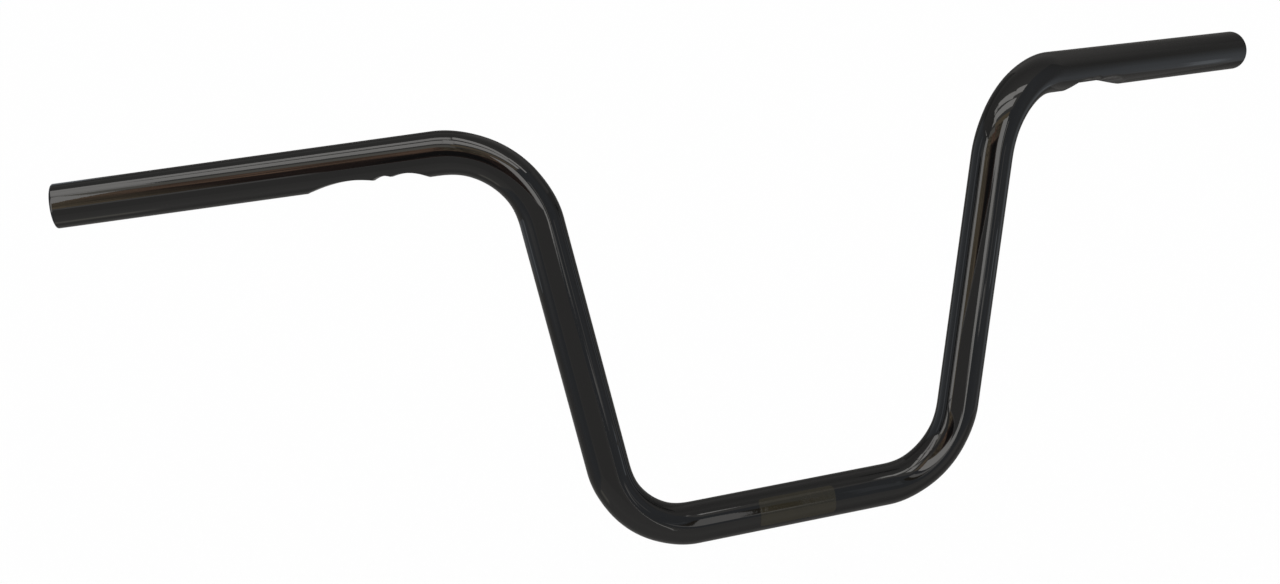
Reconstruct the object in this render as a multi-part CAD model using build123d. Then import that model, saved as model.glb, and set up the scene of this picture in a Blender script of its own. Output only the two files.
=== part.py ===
from build123d import *
import os
from math import tan, radians, degrees, acos

# Ape hanger handlebar: one length of 25.4 mm tube bent at four places.
# Millimetres. The origin is the middle of the clamp run's axis, +X runs along that axis to the clutch
# side, +Y points back to the rider and +Z points up in the plane of the clamp run and the risers.

# Tube
TUBE_OD = 25.4
TUBE_WALL = 2.5
END_ROUND = 1.0  # outer edge at each cut end
BORE_CHAMFER = 0.5  # inner edge at each cut end

# Centre line, from corner to corner of the straight runs
BEND_R = 54.0  # centre-line radius of all four bends
LOWER_CORNER_X = 109.0  # clamp run's corner, from the middle
RISE = 241.5  # clamp run's axis to the upper corner
RISER_SPLAY = 11.2  # degrees each riser leans outwards
GRIP_SWEEP = 23.0  # degrees each grip turns back to the rider
GRIP_DROOP = 4.3  # degrees each grip falls towards its end
GRIP_RUN = 265.0  # upper corner to the cut end

# Wiring dimples under each grip, pressed by round dies lying across the tube:
# (distance from the upper corner, die radius, depth)
DIMPLE_TURN = 10.0  # degrees the presses are turned forwards from straight down
THROTTLE_PRESSES = [(99.5, 63.0, 4.15), (79.0, 10.0, 4.2), (67.5, 26.0, 4.1)]
CLUTCH_PRESSES = [(103.0, 50.0, 5.0), (86.0, 14.0, 5.7), (77.0, 30.0, 5.2)]

TUBE_R = TUBE_OD / 2
BORE_R = TUBE_R - TUBE_WALL

# Clutch-side corner points and directions; the throttle side is their mirror image
clamp_dir = Vector(1, 0, 0)
riser_dir = Vector(tan(radians(RISER_SPLAY)), 0, 1).normalized()
grip_dir = Vector(1, 0, 0).rotate(Axis.Y, GRIP_DROOP).rotate(Axis.Z, GRIP_SWEEP)
lower_corner = Vector(LOWER_CORNER_X, 0, 0)
upper_corner = lower_corner + riser_dir * (RISE / riser_dir.Z)


def bend_angle(before, after):
    """Degrees through which a bend turns the tube."""
    return degrees(acos(before.dot(after)))


def setback(before, after):
    """Distance from a corner to the point where its bend begins or ends."""
    return BEND_R * tan(radians(bend_angle(before, after) / 2))


def straight(start, end, radius):
    """Round rod between two points."""
    section = Plane(start, z_dir=end - start) * Circle(radius)
    return extrude(section, amount=(end - start).length)


def bend(corner, before, after, radius):
    """Round rod round one bend, tangent to the runs before and after the corner."""
    start = corner - before * setback(before, after)
    turn_axis = before.cross(after).normalized()
    centre = start + turn_axis.cross(before) * BEND_R
    section = Plane(start, z_dir=before) * Circle(radius)
    return revolve(section, Axis(centre, turn_axis), bend_angle(before, after))


lower_setback = setback(clamp_dir, riser_dir)
upper_setback = setback(riser_dir, grip_dir)
clamp_half = LOWER_CORNER_X - lower_setback


def bent_rod(radius):
    """Solid rod along the whole centre line."""
    side = bend(lower_corner, clamp_dir, riser_dir, radius)
    side += straight(lower_corner + riser_dir * lower_setback, upper_corner - riser_dir * upper_setback, radius)
    side += bend(upper_corner, riser_dir, grip_dir, radius)
    side += straight(upper_corner + grip_dir * upper_setback, upper_corner + grip_dir * GRIP_RUN, radius)
    clamp = straight(Vector(-clamp_half, 0, 0), Vector(clamp_half, 0, 0), radius)
    return clamp + side + side.mirror(Plane.YZ)


def die(press, mirrored, depth_from):
    """Round die lying across a grip, sunk into a wall that stands depth_from off the grip's axis."""
    station, die_r, depth = press
    down = (grip_dir * grip_dir.Z - Vector(0, 0, 1)).normalized().rotate(Axis((0, 0, 0), grip_dir), -DIMPLE_TURN)
    centre = upper_corner + grip_dir * station + down * (depth_from - depth + die_r)
    section = Plane(centre, x_dir=grip_dir, z_dir=grip_dir.cross(down)) * Circle(die_r)
    shape = extrude(section, amount=TUBE_OD, both=True)
    return shape.mirror(Plane.YZ) if mirrored else shape


def pressed(rod, radius):
    """Rod with every dimple pressed into it."""
    for press in CLUTCH_PRESSES:
        rod -= die(press, False, radius)
    for press in THROTTLE_PRESSES:
        rod -= die(press, True, radius)
    return rod


# The bore follows the outside at the wall's thickness, so each dimple shows inside as well
outside = pressed(bent_rod(TUBE_R), TUBE_R)
bore = pressed(bent_rod(BORE_R), BORE_R)
tube = outside - bore

# Cut ends: rounded outside, broken inside
end_x = (upper_corner + grip_dir * GRIP_RUN).X
end_edges = [e for e in tube.edges().filter_by(GeomType.CIRCLE) if abs(abs(e.arc_center.X) - end_x) < 0.01]
tube = fillet([e for e in end_edges if e.radius > BORE_R + 0.01], END_ROUND)
end_edges = [e for e in tube.edges().filter_by(GeomType.CIRCLE) if abs(abs(e.arc_center.X) - end_x) < 0.01]
tube = chamfer([e for e in end_edges if e.radius < BORE_R + 0.01], BORE_CHAMFER)

handlebar = tube.solid()
handlebar.label = "handlebar_tube"

os.makedirs("parts", exist_ok=True)
export_step(handlebar, "parts/handlebar_tube.step")
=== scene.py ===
from math import atan2, cos, exp, log, radians, sin, sqrt, tan

import bmesh
import bpy
from mathutils import Matrix, Vector


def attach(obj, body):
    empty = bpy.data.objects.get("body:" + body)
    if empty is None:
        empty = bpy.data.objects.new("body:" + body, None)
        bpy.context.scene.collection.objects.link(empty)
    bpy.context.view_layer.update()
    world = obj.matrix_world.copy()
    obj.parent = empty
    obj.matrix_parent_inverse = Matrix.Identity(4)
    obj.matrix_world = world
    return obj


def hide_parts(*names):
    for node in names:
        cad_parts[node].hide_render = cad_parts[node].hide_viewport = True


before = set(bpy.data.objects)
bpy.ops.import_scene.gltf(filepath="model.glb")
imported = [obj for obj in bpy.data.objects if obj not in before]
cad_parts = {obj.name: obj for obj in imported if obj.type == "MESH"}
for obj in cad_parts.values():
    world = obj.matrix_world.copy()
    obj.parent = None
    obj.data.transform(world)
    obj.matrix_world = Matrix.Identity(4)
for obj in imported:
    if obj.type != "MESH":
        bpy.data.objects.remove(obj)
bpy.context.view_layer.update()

# Sizes in metres, the same as the CAD part's
TUBE_R = 0.0127
TUBE_WALL = 0.0025
BORE_R = TUBE_R - TUBE_WALL
END_ROUND = 0.001
BORE_CHAMFER = 0.0005
END_BAND = 0.0016  # short last ring, which keeps the rounding's shading at the rim
BEND_R = 0.054
LOWER_CORNER_X = 0.109
RISE = 0.2415
RISER_SPLAY = radians(11.2)
GRIP_SWEEP = radians(23.0)
GRIP_DROOP = radians(4.3)
GRIP_RUN = 0.265

# Wiring dimples: (distance from the upper corner, die radius, depth), turned a little forwards
DIMPLE_TURN = radians(10.0)
THROTTLE_PRESSES = [(0.0995, 0.063, 0.00415), (0.079, 0.010, 0.0042), (0.0675, 0.026, 0.0041)]
CLUTCH_PRESSES = [(0.103, 0.050, 0.0050), (0.086, 0.014, 0.0057), (0.077, 0.030, 0.0052)]
DIMPLE_END = 0.128
DIMPLE_EDGE = 0.00035  # softness of the paint over a dimple's edges

# A bent tube is a little flatter in the plane of the bend
BEND_FLATTENING = 0.0575
FLATTENING_RUN_IN = 0.3  # share of the bend over which it comes and goes

# Paint covers the bore to the first depth, and its steel is bare from the second
BARE_STEEL_DEPTHS = (0.006, 0.032)

# Blank film label on the front of the clamp run
LABEL_LENGTH = 0.0505
LABEL_HEIGHT = 0.0178
LABEL_CORNER = 0.0024
LABEL_X = -0.0016
LABEL_TURN = radians(7.0)  # up from straight ahead
LABEL_LIFT = 0.00006
LABEL_THICKNESS = 0.0001

# Fineness of the meshes
AROUND = 96
CLAMP_STEPS = 8
RISER_STEPS = 16
GRIP_STEPS = 12
OUTER_BEND_STEPS = 48
OUTER_DIMPLE_STEPS = 160
INNER_BEND_STEPS = 20
INNER_DIMPLE_STEPS = 40
RIM_STEPS = 5
LIP_STEPS = 2
LABEL_CORNER_STEPS = 8
LABEL_STRIPS = 36
SHARP_EDGE = radians(50)  # steeper edges are shaded sharp
SQUARE_EDGE = radians(70)  # steeper edges are the cut ends' own
MERGE_DISTANCE = 1e-6

CLAMP_DIR = Vector((1, 0, 0))
RISER_DIR = Vector((sin(RISER_SPLAY), 0, cos(RISER_SPLAY)))
GRIP_DIR = Vector((cos(GRIP_DROOP) * cos(GRIP_SWEEP), cos(GRIP_DROOP) * sin(GRIP_SWEEP), -sin(GRIP_DROOP)))
LOWER_CORNER = Vector((LOWER_CORNER_X, 0, 0))
UPPER_CORNER = LOWER_CORNER + RISER_DIR * (RISE / RISER_DIR.z)


def ease(value):
    """Smooth step from 0 to 1."""
    value = min(1, max(0, value))
    return value * value * (3 - 2 * value)


def new_piece(name, bm, material):
    """Mesh object at the origin from a finished bmesh."""
    mesh = bpy.data.meshes.new(name)
    bm.to_mesh(mesh)
    bm.free()
    mesh.shade_smooth()
    mesh.set_sharp_from_angle(angle=SHARP_EDGE)
    mesh.materials.append(material)
    piece = bpy.data.objects.new(name, mesh)
    bpy.context.scene.collection.objects.link(piece)
    return piece


# Tube


def setback(before, after):
    """Length of run that a bend takes from each side of its corner."""
    return BEND_R * tan(before.angle(after) / 2)


def draw_out(bm, ring, way, steps):
    """Extrudes an open ring of edges along a vector in equal steps."""
    for _ in range(steps):
        made = bmesh.ops.extrude_edge_only(bm, edges=ring)["geom"]
        moved = [g for g in made if isinstance(g, bmesh.types.BMVert)]
        bmesh.ops.translate(bm, vec=way / steps, verts=moved)
        ring = [g for g in made if isinstance(g, bmesh.types.BMEdge) and g.is_boundary]
    return ring


def bend_round(bm, ring, corner, before, after, steps):
    """Spins an open ring round one bend and flattens the bend in its own plane."""
    turn_axis = before.cross(after).normalized()
    start = corner - before * setback(before, after)
    centre = start + turn_axis.cross(before) * BEND_R
    turn = before.angle(after)
    old = set(bm.verts)
    made = bmesh.ops.spin(bm, geom=ring, cent=centre, axis=turn_axis, dvec=(0, 0, 0), angle=turn,
                          steps=steps, use_merge=False, use_normal_flip=False, use_duplicate=False)
    for vert in set(bm.verts) - old:
        arm = vert.co - centre
        flat = arm - turn_axis * arm.dot(turn_axis)
        along = before.angle(turn_axis.cross(flat)) / turn
        share = ease(min(along, 1 - along) / FLATTENING_RUN_IN)
        vert.co -= flat.normalized() * (flat.length - BEND_R) * BEND_FLATTENING * share
    return [g for g in made["geom_last"] if isinstance(g, bmesh.types.BMEdge)]


def grip_line(side):
    """Upper corner and outward direction of one grip, clutch side 1 and throttle side -1."""
    corner = Vector((side * UPPER_CORNER.x, 0, UPPER_CORNER.z))
    way = Vector((side * GRIP_DIR.x, GRIP_DIR.y, GRIP_DIR.z))
    return corner, way


def press_depth(presses, station):
    """How far the dies sink at a distance from the upper corner."""
    deepest = 0.0
    for middle, die_r, depth in presses:
        off = abs(station - middle)
        if off < die_r:
            deepest = max(deepest, depth - die_r + sqrt(die_r * die_r - off * off))
    return deepest


def press_dimples(verts, radius, side, presses):
    """Flattens the underside of one grip where the dies were pressed across it."""
    corner, way = grip_line(side)
    down = (way * way.z - Vector((0, 0, 1))).normalized()
    down.rotate(Matrix.Rotation(-side * DIMPLE_TURN, 3, way))
    for vert in verts:
        off = vert.co - corner
        depth = press_depth(presses, off.dot(way))
        low = off.dot(down)
        if depth > 0 and low > 0:
            floor = radius - depth
            kept = -DIMPLE_EDGE * log(exp(-low / DIMPLE_EDGE) + exp(-floor / DIMPLE_EDGE))
            vert.co += down * min(0, kept - low)


def bent_wall(bm, radius, bend_steps, dimple_steps):
    """Open-ended bent tube wall, clutch half first and then its mirror image."""
    old = set(bm.verts)
    lower = setback(CLAMP_DIR, RISER_DIR)
    upper = setback(RISER_DIR, GRIP_DIR)
    riser_run = (UPPER_CORNER - LOWER_CORNER).length - lower - upper
    made = bmesh.ops.create_circle(bm, cap_ends=False, segments=AROUND, radius=radius,
                                   matrix=CLAMP_DIR.to_track_quat("Z", "Y").to_matrix().to_4x4())
    ring = list({edge for vert in made["verts"] for edge in vert.link_edges})
    ring = draw_out(bm, ring, CLAMP_DIR * (LOWER_CORNER_X - lower), CLAMP_STEPS)
    ring = bend_round(bm, ring, LOWER_CORNER, CLAMP_DIR, RISER_DIR, bend_steps)
    ring = draw_out(bm, ring, RISER_DIR * riser_run, RISER_STEPS)
    ring = bend_round(bm, ring, UPPER_CORNER, RISER_DIR, GRIP_DIR, bend_steps)
    ring = draw_out(bm, ring, GRIP_DIR * (DIMPLE_END - upper), dimple_steps)
    ring = draw_out(bm, ring, GRIP_DIR * (GRIP_RUN - DIMPLE_END - END_BAND), GRIP_STEPS)
    draw_out(bm, ring, GRIP_DIR * END_BAND, 1)
    half = set(bm.verts) - old
    geometry = list(half | {e for v in half for e in v.link_edges} | {f for v in half for f in v.link_faces})
    bmesh.ops.mirror(bm, geom=geometry, matrix=Matrix.Identity(4), merge_dist=MERGE_DISTANCE, axis="X")
    wall = set(bm.verts) - old
    press_dimples([v for v in wall if v.co.x > UPPER_CORNER.x], radius, 1, CLUTCH_PRESSES)
    press_dimples([v for v in wall if v.co.x < -UPPER_CORNER.x], radius, -1, THROTTLE_PRESSES)
    return wall


def bareness(spot):
    """0 where paint reaches into the bore, 1 where its steel is bare."""
    corner, way = grip_line(1 if spot.x > 0 else -1)
    depth = GRIP_RUN - (spot - corner).dot(way)
    painted, bare = BARE_STEEL_DEPTHS
    return ease((depth - painted) / (bare - painted))


def build_tube(paint):
    """The whole bar: outer wall, bore, rounded rims and chamfered lips."""
    bm = bmesh.new()
    bare_steel = bm.verts.layers.float.new("bare_steel")
    outside = bent_wall(bm, TUBE_R, OUTER_BEND_STEPS, OUTER_DIMPLE_STEPS)
    inside = bent_wall(bm, BORE_R, INNER_BEND_STEPS, INNER_DIMPLE_STEPS)
    for vert in inside:
        vert[bare_steel] = bareness(vert.co)
    for side in (-1, 1):
        mouth = [edge for edge in bm.edges if edge.is_boundary and edge.verts[0].co.x * side > 0]
        bmesh.ops.bridge_loops(bm, edges=mouth)
    bmesh.ops.recalc_face_normals(bm, faces=bm.faces[:])
    square = [edge for edge in bm.edges if edge.calc_face_angle(0) > SQUARE_EDGE]
    rims = [edge for edge in square if outside.issuperset(edge.verts)]
    lips = [edge for edge in square if inside.issuperset(edge.verts)]
    for edges, size, steps in ((rims, END_ROUND, RIM_STEPS), (lips, BORE_CHAMFER, LIP_STEPS)):
        bmesh.ops.bevel(bm, geom=edges, offset=size, offset_type="OFFSET", segments=steps, profile=0.5,
                        affect="EDGES", material=-1)
    return new_piece("bent_tube", bm, paint)


def build_label(film):
    """Blank film label with round corners, wrapped round the front of the clamp run."""
    bm = bmesh.new()
    bmesh.ops.create_grid(bm, x_segments=1, y_segments=1, size=0.5,
                          matrix=Matrix.Diagonal((LABEL_LENGTH, LABEL_HEIGHT, 1, 1)))
    bmesh.ops.bevel(bm, geom=bm.verts[:], offset=LABEL_CORNER, offset_type="OFFSET",
                    segments=LABEL_CORNER_STEPS, profile=0.5, affect="VERTICES", material=-1)
    for cut in range(1, LABEL_STRIPS):
        height = LABEL_HEIGHT * (cut / LABEL_STRIPS - 0.5)
        bmesh.ops.bisect_plane(bm, geom=bm.verts[:] + bm.edges[:] + bm.faces[:],
                               plane_co=(0, height, 0), plane_no=(0, 1, 0))
    radius = TUBE_R + LABEL_LIFT
    for vert in bm.verts:
        turn = LABEL_TURN + vert.co.y / TUBE_R
        vert.co = (LABEL_X + vert.co.x, -radius * cos(turn), radius * sin(turn))
    bmesh.ops.solidify(bm, geom=bm.faces[:], thickness=LABEL_THICKNESS)
    bmesh.ops.recalc_face_normals(bm, faces=bm.faces[:])
    return new_piece("blank_label", bm, film)


# Finishes

PAINT_BLACK = (0.0042, 0.0042, 0.0044, 1)
PAINT_DUST = (0.017, 0.017, 0.016, 1)
PAINT_ROUGHNESS = (0.03, 0.055)  # clean and smeared
STEEL_DARK = (0.10, 0.092, 0.085, 1)
STEEL_LIGHT = (0.34, 0.32, 0.30, 1)
STEEL_GRAIN = 420.0  # per metre
STEEL_METALLIC = 0.95
STEEL_DULLING = 0.38  # roughness that bare steel adds
DUST_DULLING = 0.1  # roughness that dust adds
OVERSPRAY_RAGGEDNESS = 0.9
OVERSPRAY_EDGE = (0.3, 0.7)
FILM_DARK = (0.0142, 0.0122, 0.0072, 1)
FILM_LIGHT = (0.0205, 0.0175, 0.0102, 1)
FILM_CLOUDS = 95.0  # per metre
FILM_DUST = (0.04, 0.038, 0.034, 1)
FILM_ROUGHNESS = (0.07, 0.13)  # clean and smeared
RIPPLE_HEIGHT = 0.0002
SHORT_WAVE_RATIO = 5.6  # short waves to one long wave
SHORT_WAVE_SHARE = 0.4
SMEAR_RANGE = (0.42, 0.7)
DUST_RANGE = (0.7, 0.78)


def add_node(tree, kind, inputs=None, **settings):
    """Shader node with its settings, and its inputs set or linked."""
    made = tree.nodes.new("ShaderNode" + kind)
    for key, value in settings.items():
        setattr(made, key, value)
    for key, value in (inputs or {}).items():
        if isinstance(value, bpy.types.NodeSocket):
            tree.links.new(value, made.inputs[key])
        else:
            made.inputs[key].default_value = value
    return made


def math_node(tree, operation, *terms, clamp=False):
    """Math node on sockets and numbers."""
    return add_node(tree, "Math", dict(enumerate(terms)), operation=operation, use_clamp=clamp).outputs[0]


def noise(tree, vector, scale, detail=2.0, roughness=0.5):
    """Noise over the surface, about 0.5 on average."""
    inputs = {"Vector": vector, "Scale": scale, "Detail": detail, "Roughness": roughness}
    return add_node(tree, "TexNoise", inputs).outputs["Fac"]


def remap(tree, value, low, high, new_low=0.0, new_high=1.0):
    """Smooth step of a value from one range to another."""
    inputs = {"Value": value, "From Min": low, "From Max": high, "To Min": new_low, "To Max": new_high}
    return add_node(tree, "MapRange", inputs, interpolation_type="SMOOTHSTEP").outputs["Result"]


def mix_colour(tree, share, first, second):
    """Blend of two colours."""
    return add_node(tree, "Mix", {0: share, 6: first, 7: second}, data_type="RGBA").outputs[2]


def new_group(name, inputs, outputs):
    """Shader node group with named sockets: the group, its inputs and its outputs."""
    group = bpy.data.node_groups.new(name, "ShaderNodeTree")
    for side, sockets in (("INPUT", inputs), ("OUTPUT", outputs)):
        for label, kind in sockets.items():
            group.interface.new_socket(name=label, in_out=side, socket_type="NodeSocket" + kind)
    return group, group.nodes.new("NodeGroupInput").outputs, group.nodes.new("NodeGroupOutput").inputs


def new_material(name):
    """Node material: itself, its node tree and its main shader."""
    material = bpy.data.materials.new(name)
    material.use_nodes = True
    tree = material.node_tree
    return material, tree, tree.nodes["Principled BSDF"]


def flow_ripple_group():
    """Height of the long and short waves in a glossy skin."""
    inputs = {"Vector": "Vector", "Scale": "Float"}
    group, given, made = new_group("flow_ripple", inputs, {"Height": "Float"})
    long_wave = noise(group, given["Vector"], given["Scale"], 1.0)
    short_scale = math_node(group, "MULTIPLY", given["Scale"], SHORT_WAVE_RATIO)
    short_wave = noise(group, given["Vector"], short_scale, 2.0)
    height = math_node(group, "MULTIPLY_ADD", short_wave, SHORT_WAVE_SHARE, long_wave)
    group.links.new(height, made["Height"])
    return group


def handling_marks_group():
    """Where hands have dulled the gloss, and where dust has settled."""
    inputs = {"Vector": "Vector", "Smear Scale": "Float", "Dust Scale": "Float"}
    group, given, made = new_group("handling_marks", inputs, {"Smear": "Float", "Dust": "Float"})
    smear = remap(group, noise(group, given["Vector"], given["Smear Scale"], 4.0, 0.6), *SMEAR_RANGE)
    dust = remap(group, noise(group, given["Vector"], given["Dust Scale"], 1.0), *DUST_RANGE)
    group.links.new(smear, made["Smear"])
    group.links.new(dust, made["Dust"])
    return group


FLOW_RIPPLE = flow_ripple_group()
HANDLING_MARKS = handling_marks_group()


def handling_marks(tree, place, smears, dust):
    """Smear and dust masks, with their scales per metre."""
    inputs = {"Vector": place, "Smear Scale": smears, "Dust Scale": dust}
    return add_node(tree, "Group", inputs, node_tree=HANDLING_MARKS).outputs


def ripple_normal(tree, place, scale, strength):
    """Normal bent by the skin's ripple."""
    ripple = add_node(tree, "Group", {"Vector": place, "Scale": scale}, node_tree=FLOW_RIPPLE)
    inputs = {"Strength": strength, "Distance": RIPPLE_HEIGHT, "Height": ripple.outputs["Height"]}
    return add_node(tree, "Bump", inputs).outputs["Normal"]


def gloss_black_paint():
    """Deep gloss black over the tube, with overspray and drawn bare steel down the bore."""
    material, tree, shader = new_material("gloss_black_paint")
    place = add_node(tree, "TexCoord").outputs["Object"]
    marks = handling_marks(tree, place, 30.0, 2300.0)
    grain = noise(tree, place, STEEL_GRAIN, 4.0, 0.65)
    fade = add_node(tree, "Attribute", attribute_name="bare_steel").outputs["Fac"]
    grain_about_zero = math_node(tree, "SUBTRACT", grain, 0.5)
    ragged_fade = math_node(tree, "MULTIPLY_ADD", grain_about_zero, OVERSPRAY_RAGGEDNESS, fade)
    bare = remap(tree, ragged_fade, *OVERSPRAY_EDGE)

    black = mix_colour(tree, marks["Dust"], PAINT_BLACK, PAINT_DUST)
    steel = mix_colour(tree, grain, STEEL_DARK, STEEL_LIGHT)
    tree.links.new(mix_colour(tree, bare, black, steel), shader.inputs["Base Color"])
    tree.links.new(math_node(tree, "MULTIPLY", bare, STEEL_METALLIC), shader.inputs["Metallic"])
    gloss = remap(tree, marks["Smear"], 0, 1, *PAINT_ROUGHNESS)
    dusty = math_node(tree, "MULTIPLY_ADD", marks["Dust"], DUST_DULLING, gloss)
    dull = math_node(tree, "MULTIPLY_ADD", bare, STEEL_DULLING, dusty)
    tree.links.new(dull, shader.inputs["Roughness"])
    tree.links.new(ripple_normal(tree, place, 160.0, 0.05), shader.inputs["Normal"])
    return material


def blank_label_film():
    """Smoke-tinted film with nothing printed on it, a little softer in gloss than the paint."""
    material, tree, shader = new_material("blank_label_film")
    place = add_node(tree, "TexCoord").outputs["Object"]
    marks = handling_marks(tree, place, 55.0, 2600.0)
    tint = mix_colour(tree, noise(tree, place, FILM_CLOUDS, 3.0), FILM_DARK, FILM_LIGHT)
    tree.links.new(mix_colour(tree, marks["Dust"], tint, FILM_DUST), shader.inputs["Base Color"])
    tree.links.new(remap(tree, marks["Smear"], 0, 1, *FILM_ROUGHNESS), shader.inputs["Roughness"])
    tree.links.new(ripple_normal(tree, place, 240.0, 0.14), shader.inputs["Normal"])
    return material


tube = build_tube(gloss_black_paint())
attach(tube, "root")
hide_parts("handlebar_tube")

label = build_label(blank_label_film())
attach(label, "root")


# Camera and studio

CAMERA_PLACE = Vector((-0.632214, -1.301590, 0.470778))
CAMERA_RIGHT = Vector((0.915649, -0.397005, -0.063043))
CAMERA_UP = Vector((0.146112, 0.1826, 0.97227))
PHOTO_WIDTH = 1280  # pixels
FOCAL_PIXELS = 2499.58  # at the photo's width
SENSOR_WIDTH = 36.0  # millimetres

STUDIO_TURN = atan2(CAMERA_RIGHT.y, CAMERA_RIGHT.x)  # the studio stands square to the camera
FLOOR_HEIGHT = -0.45
FLOOR_RADIUS = 200
FLOOR_SIDES = 64
FLOOR_WHITE = (0.995, 0.995, 0.995, 1)
SURROUND_WHITE = (1, 1, 1, 1)
GLOW_RADIUS = 12
GLOW_COLOUR = (0.27, 0.265, 0.26)
MOTTLE_RANGE = (0.3, 0.7)
MOTTLE_DIM = 0.15  # share of a mottled card's strength in its darkest patches
MOTTLE_BRIGHT = 1.85  # and in its brightest

TENT_WHITE = (1.0, 0.975, 0.935)
LAMP_WHITE = (1.0, 0.98, 0.95)
COOL_WHITE = (0.87, 0.93, 1.0)
SHADE_WHITE = (1.0, 0.96, 0.85)
ROOM_BROWN = (1.0, 0.62, 0.42)
ROOM_RED = (1.0, 0.55, 0.40)
ROOM_TAN = (1.0, 0.8, 0.53)

# Places in the studio are right, away and up from the clamp run's middle, as the camera sees it
TENT_LEFT = -0.62
TENT_RIGHT = 1.3
TENT_REAR = 0.8
TENT_TOP = 1.2
GROUND = FLOOR_HEIGHT + 0.001
LEFT_SEAMS = TENT_LEFT + 0.01
RIGHT_SEAMS = 1.19
FRONT = -0.8
SIDE = -0.9
PANES = 0.7
HARD = (0.001, 0.001)

# Each card has a name, middle, across, upward, colour, strength, soft share of each edge,
# and, where it is mottled, the mottling per metre
TENT_WALLS = [
    ("ground", (0, 0, GROUND), (20, 0, 0), (0, 20, 0), TENT_WHITE, 0.49, HARD),
    ("ground_rear", (0, 1.45, -0.2), (7, 0, -1.4), (0, 3.2, 0), TENT_WHITE, 0.24, (0.01, 0.05)),
    ("rear_wall", (0, TENT_REAR, 0.5), (2.6, 0, 0), (0, 0, 2), TENT_WHITE, 0.14, HARD),
    ("rear_high", (0.3, 0.7, 0.9), (2.4, -0.7, 0), (0, 0, 0.85), TENT_WHITE, 0.3, (0.05, 0.3)),
    ("right_wall", (TENT_RIGHT, -0.2, 0.5), (0, 2, 0), (0, 0, 2), TENT_WHITE, 0.18, HARD),
    ("right_front", (1.2, -1, 0.3), (0, 2.8, 0), (0, 0, 3), COOL_WHITE, 0.37, (0.2, 0.01)),
    ("right_low", (1.12, 0.6, -0.1), (0, 0.8, 0), (0, 0, 0.9), COOL_WHITE, 0.43, (0.2, 0.35)),
    ("left_wall", (TENT_LEFT, 0.1, 0.1), (0, 1.5, 0), (0, 0, 1.2), COOL_WHITE, 0.37, (0.001, 0.1)),
    ("left_front", (LEFT_SEAMS, -0.33, 0.2), (0, 0.36, 0), (0, 0, 0.8), LAMP_WHITE, 0.68, (0.25, 0.3)),
    ("ceiling", (0.3, 0, TENT_TOP), (3, 0, 0), (0, 2.4, 0), TENT_WHITE, 0.61, HARD),
    ("ceiling_rear", (0.2, 0.5, 1.15), (5, 0, 0), (0, 2, 0), TENT_WHITE, 0.29, (0.05, 0.4)),
]
TENT_SEAMS = [
    ("left_seam", (LEFT_SEAMS, 0.03, 0.15), (0, 0.09, 0), (0, 0, 0.9), COOL_WHITE, 0.9, (0.3, 0.1)),
    ("left_rear_seam", (LEFT_SEAMS, 0.78, 0.1), (0, 0.14, 0), (0, 0, 0.6), COOL_WHITE, 0.7, (0.3, 0.1)),
    ("right_seam", (RIGHT_SEAMS, -0.57, -0.06), (0, 0.13, 0), (0, 0, 0.34), LAMP_WHITE, 0.75, (0.15, 0.1)),
    ("right_sill", (RIGHT_SEAMS, -0.76, -0.22), (0, 0.26, 0), (0, 0, 0.07), LAMP_WHITE, 1.4, (0.1, 0.15)),
    ("right_spot", (1.1, 0.02, -0.16), (0, 0.14, 0), (0, 0, 0.07), COOL_WHITE, 1.05, (0.15, 0.15)),
    ("right_streak", (1.11, 0.57, -0.23), (0, 0.16, -0.22), (0, 0.04, 0.03), COOL_WHITE, 0.75, (0.15, 0.3)),
    ("ground_seam", (-0.52, -0.1, -0.44), (0.18, 0, 0), (0, 0.2, 0), SHADE_WHITE, 1.2, (0.15, 0.35)),
]
FRONT_LIP = [
    ("front_lip", (-0.1, FRONT, -0.16), (1.06, 0, 0), (0, 0, 0.58), TENT_WHITE, 0.43, HARD),
    ("lip_edge", (-0.12, -0.77, 0.128), (1.14, 0, 0.01), (0, 0, 0.012), LAMP_WHITE, 1.1, (0.01, 0.2)),
    ("lip_near", (-0.36, -0.22, 0.207), (0.18, 0, 0.018), (0, 0, 0.02), LAMP_WHITE, 0.95, (0.1, 0.1)),
]
ROOM = [
    ("room_top", (-0.3, -2.6, 2.2), (5, 0, 0), (0, 0, 2), ROOM_BROWN, 0.98, (0.01, 0.05), 6),
    ("room_low", (-0.3, -2.65, 0.3), (5, 0, 0), (0, 0, 2), ROOM_RED, 0.17, (0.01, 0.02), 14),
    ("room_left", (-1.9, -2.5, 1), (2, 0, 0.4), (-0.6, 0, 2.8), ROOM_TAN, 0.95, (0.15, 0.01), 6),
    ("room_right", (0.32, -2.5, 1.9), (1.35, 0, 0), (0, 0, 1.3), ROOM_TAN, 0.65, (0.1, 0.08), 6),
    ("room_dark", (-0.08, -2.45, 0.59), (0.95, 0, 0), (0, 0, 0.98), ROOM_BROWN, 0.02, (0.08, 0.05)),
]
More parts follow.
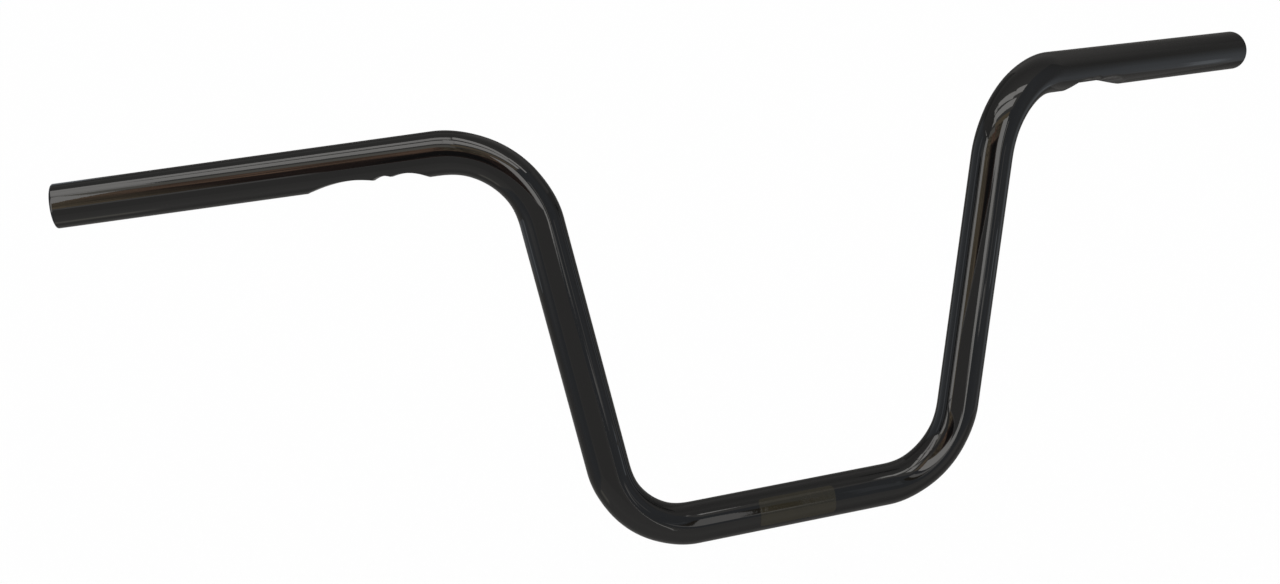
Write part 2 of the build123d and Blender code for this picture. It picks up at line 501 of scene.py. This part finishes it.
SIDE_PANELS = [
    ("left_panel", (-0.58, -0.52, 0.48), (0, 0.27, 0), (0, 0, 0.92), LAMP_WHITE, 3.2, (0.05, 0.05)),
    ("flap", (0.65, -1.1, 0.45), (0.6, -0.2, 0), (0, -0.1, 1.2), LAMP_WHITE, 3.3, (0.03, 0.05)),
    ("flap_low", (0.52, -0.65, -0.22), (0.26, -0.24, 0), (0, 0, 0.44), LAMP_WHITE, 3.3, (0.03, 0.03)),
    ("flap_hem", (0.34, -1, 0.15), (0.036, 0, 0), (0, 0, 0.92), LAMP_WHITE, 1.55, (0.1, 0.1)),
    ("side_pane", (0.873, SIDE, 0.26), (0.124, 0, 0), (0.07, 0, 0.78), LAMP_WHITE, 1.5, (0.02, 0.02)),
    ("side_gap", (0.99, SIDE, 0.29), (0.11, 0, 0), (0.07, 0, 0.62), ROOM_TAN, 0.16, (0.02, 0.02)),
    ("side_line", (1.15, SIDE, 0.26), (0.09, 0, 0), (0.04, 0, 0.56), COOL_WHITE, 0.55, (0.2, 0.1)),
    ("side_foot", (0.97, SIDE, -0.095), (0.13, 0, 0), (0, 0, 0.13), LAMP_WHITE, 1.05, (0.05, 0.2)),
]
TOP_LIGHT = [
    ("top_end", (-0.6, -0.24, 0.8), (0.2, 0, -0.16), (0, 0.48, 0), LAMP_WHITE, 2.5, (0.1, 0.1)),
    ("rear_pane_left", (-0.38, -0.08, PANES), (0.48, 0, 0), (0, 0.115, 0), LAMP_WHITE, 2.95, (0.02, 0.06)),
    ("rear_pane_mid", (0.08, -0.125, PANES), (0.44, -0.15, 0), (0, 0.12, 0), LAMP_WHITE, 3.45, (0.02, 0.06)),
    ("rear_pane_right", (0.45, -0.18, PANES), (0.34, -0.03, 0), (0, 0.115, 0), LAMP_WHITE, 3.45, (0.02, 0.06)),
    ("mid_pane_left", (-0.37, -0.255, PANES), (0.5, -0.065, 0), (0, 0.18, 0), LAMP_WHITE, 3.2, (0.02, 0.05)),
    ("mid_pane_right", (0.15, -0.31, PANES), (0.7, -0.155, 0), (0, 0.155, 0), LAMP_WHITE, 3.5, (0.02, 0.05)),
    ("front_pane_left", (-0.36, -0.52, PANES), (0.5, -0.08, 0), (0, 0.2, 0), SHADE_WHITE, 1.3, (0.02, 0.08)),
    ("front_pane_right", (0.2, -0.55, PANES), (0.7, -0.2, 0), (0, 0.14, 0), ROOM_TAN, 1.2, (0.02, 0.08)),
]
# Small screens near the bar, which keep the top light off the right corner and the clamp run's front
SCREENS = [
    ("corner_screen", (0.05, 0.018, 0.3), (0, 0.095, 0), (0, 0, 0.072), TENT_WHITE, 0.33, (0.03, 0.03)),
    ("clamp_screen", (0.02, -0.023, 0.05), (0.14, 0.054, 0), (0, 0.02, 0), TENT_WHITE, 0.38, (0.05, 0.1)),
]


def place_camera():
    """Camera in front of the bar, a little above it and to the throttle side."""
    lens = bpy.data.cameras.new("camera")
    lens.sensor_fit = "HORIZONTAL"
    lens.sensor_width = SENSOR_WIDTH
    lens.lens = SENSOR_WIDTH * FOCAL_PIXELS / PHOTO_WIDTH
    camera = bpy.data.objects.new("camera", lens)
    turn = Matrix((CAMERA_RIGHT, CAMERA_UP, CAMERA_RIGHT.cross(CAMERA_UP))).transposed().to_4x4()
    camera.matrix_world = Matrix.Translation(CAMERA_PLACE) @ turn
    bpy.context.scene.collection.objects.link(camera)
    bpy.context.scene.camera = camera


def soft_edge_group():
    """One over a card, falling to zero along its edges."""
    inputs = {"UV": "Vector", "Across": "Float", "Upward": "Float"}
    group, given, made = new_group("soft_edge", inputs, {"Mask": "Float"})
    split = add_node(group, "SeparateXYZ", {"Vector": given["UV"]}).outputs
    sides = []
    for axis, edge in (("X", "Across"), ("Y", "Upward")):
        near = math_node(group, "MINIMUM", split[axis], math_node(group, "SUBTRACT", 1.0, split[axis]))
        sides.append(math_node(group, "DIVIDE", near, given[edge], clamp=True))
    group.links.new(math_node(group, "MULTIPLY", *sides), made["Mask"])
    return group


SOFT_EDGE = soft_edge_group()


def card_glow(name, colour, strength, edges=None, mottle=0):
    """Light of one colour, with soft edges where they are given, and mottled where asked."""
    material, tree, shader = new_material(name)
    material.cycles.emission_sampling = "NONE"
    tree.nodes.remove(shader)
    surface = tree.nodes["Material Output"].inputs["Surface"]
    coordinates = add_node(tree, "TexCoord").outputs
    light = add_node(tree, "Emission", {"Color": (*colour, 1), "Strength": strength})
    if mottle:
        patches = noise(tree, coordinates["Object"], mottle, 5.0, 0.65)
        uneven = remap(tree, patches, *MOTTLE_RANGE, MOTTLE_DIM * strength, MOTTLE_BRIGHT * strength)
        tree.links.new(uneven, light.inputs["Strength"])
    if not edges:
        tree.links.new(light.outputs[0], surface)
        return material
    inputs = {"UV": coordinates["UV"], "Across": edges[0], "Upward": edges[1]}
    mask = add_node(tree, "Group", inputs, node_tree=SOFT_EDGE).outputs["Mask"]
    clear = add_node(tree, "BsdfTransparent").outputs[0]
    tree.links.new(add_node(tree, "MixShader", {0: mask, 1: clear, 2: light.outputs[0]}).outputs[0], surface)
    return material


def mirrored_only(name, bm, material):
    """Part of the studio that shows in the gloss of the paint and nowhere else."""
    card = new_piece(name, bm, material)
    card.visible_camera = False
    card.visible_diffuse = False
    card.visible_transmission = False
    card.visible_volume_scatter = False
    card.visible_shadow = False


def studio_card(name, middle, across, upward, colour, strength, edges, mottle=0):
    """Flat card for the paint to mirror, turned with the studio."""
    across = Vector(across)
    upward = Vector(upward)
    turn = Matrix((across, upward, across.cross(upward).normalized())).transposed().to_4x4()
    stand = Matrix.Rotation(STUDIO_TURN, 4, "Z") @ Matrix.Translation(middle) @ turn
    bm = bmesh.new()
    bm.loops.layers.uv.new("card")
    bmesh.ops.create_grid(bm, x_segments=1, y_segments=1, size=0.5, calc_uvs=True, matrix=stand)
    mirrored_only(name, bm, card_glow(name, colour, strength, edges, mottle))


def build_surround():
    """White world and floor."""
    world = bpy.data.worlds.new("white_surround")
    bpy.context.scene.world = world
    world.use_nodes = True
    world.node_tree.nodes["Background"].inputs["Color"].default_value = SURROUND_WHITE

    white, tree, shader = new_material("white_floor")
    paper = add_node(tree, "BsdfDiffuse", {"Color": FLOOR_WHITE})
    tree.nodes.remove(shader)
    tree.links.new(paper.outputs[0], tree.nodes["Material Output"].inputs["Surface"])
    bm = bmesh.new()
    bmesh.ops.create_circle(bm, cap_ends=True, segments=FLOOR_SIDES, radius=FLOOR_RADIUS,
                            matrix=Matrix.Translation((0, 0, FLOOR_HEIGHT)))
    new_piece("floor", bm, white)


def build_tent():
    """Dim tent round the bar, with its lights and the room in front of it."""
    bm = bmesh.new()
    bmesh.ops.create_icosphere(bm, subdivisions=4, radius=GLOW_RADIUS)
    mirrored_only("tent_glow", bm, card_glow("tent_glow", GLOW_COLOUR, 1.0))
    for card in TENT_WALLS + TENT_SEAMS + FRONT_LIP + ROOM + SIDE_PANELS + TOP_LIGHT + SCREENS:
        studio_card(*card)


place_camera()
build_surround()
build_tent()
bpy.context.scene.view_settings.view_transform = "Standard"
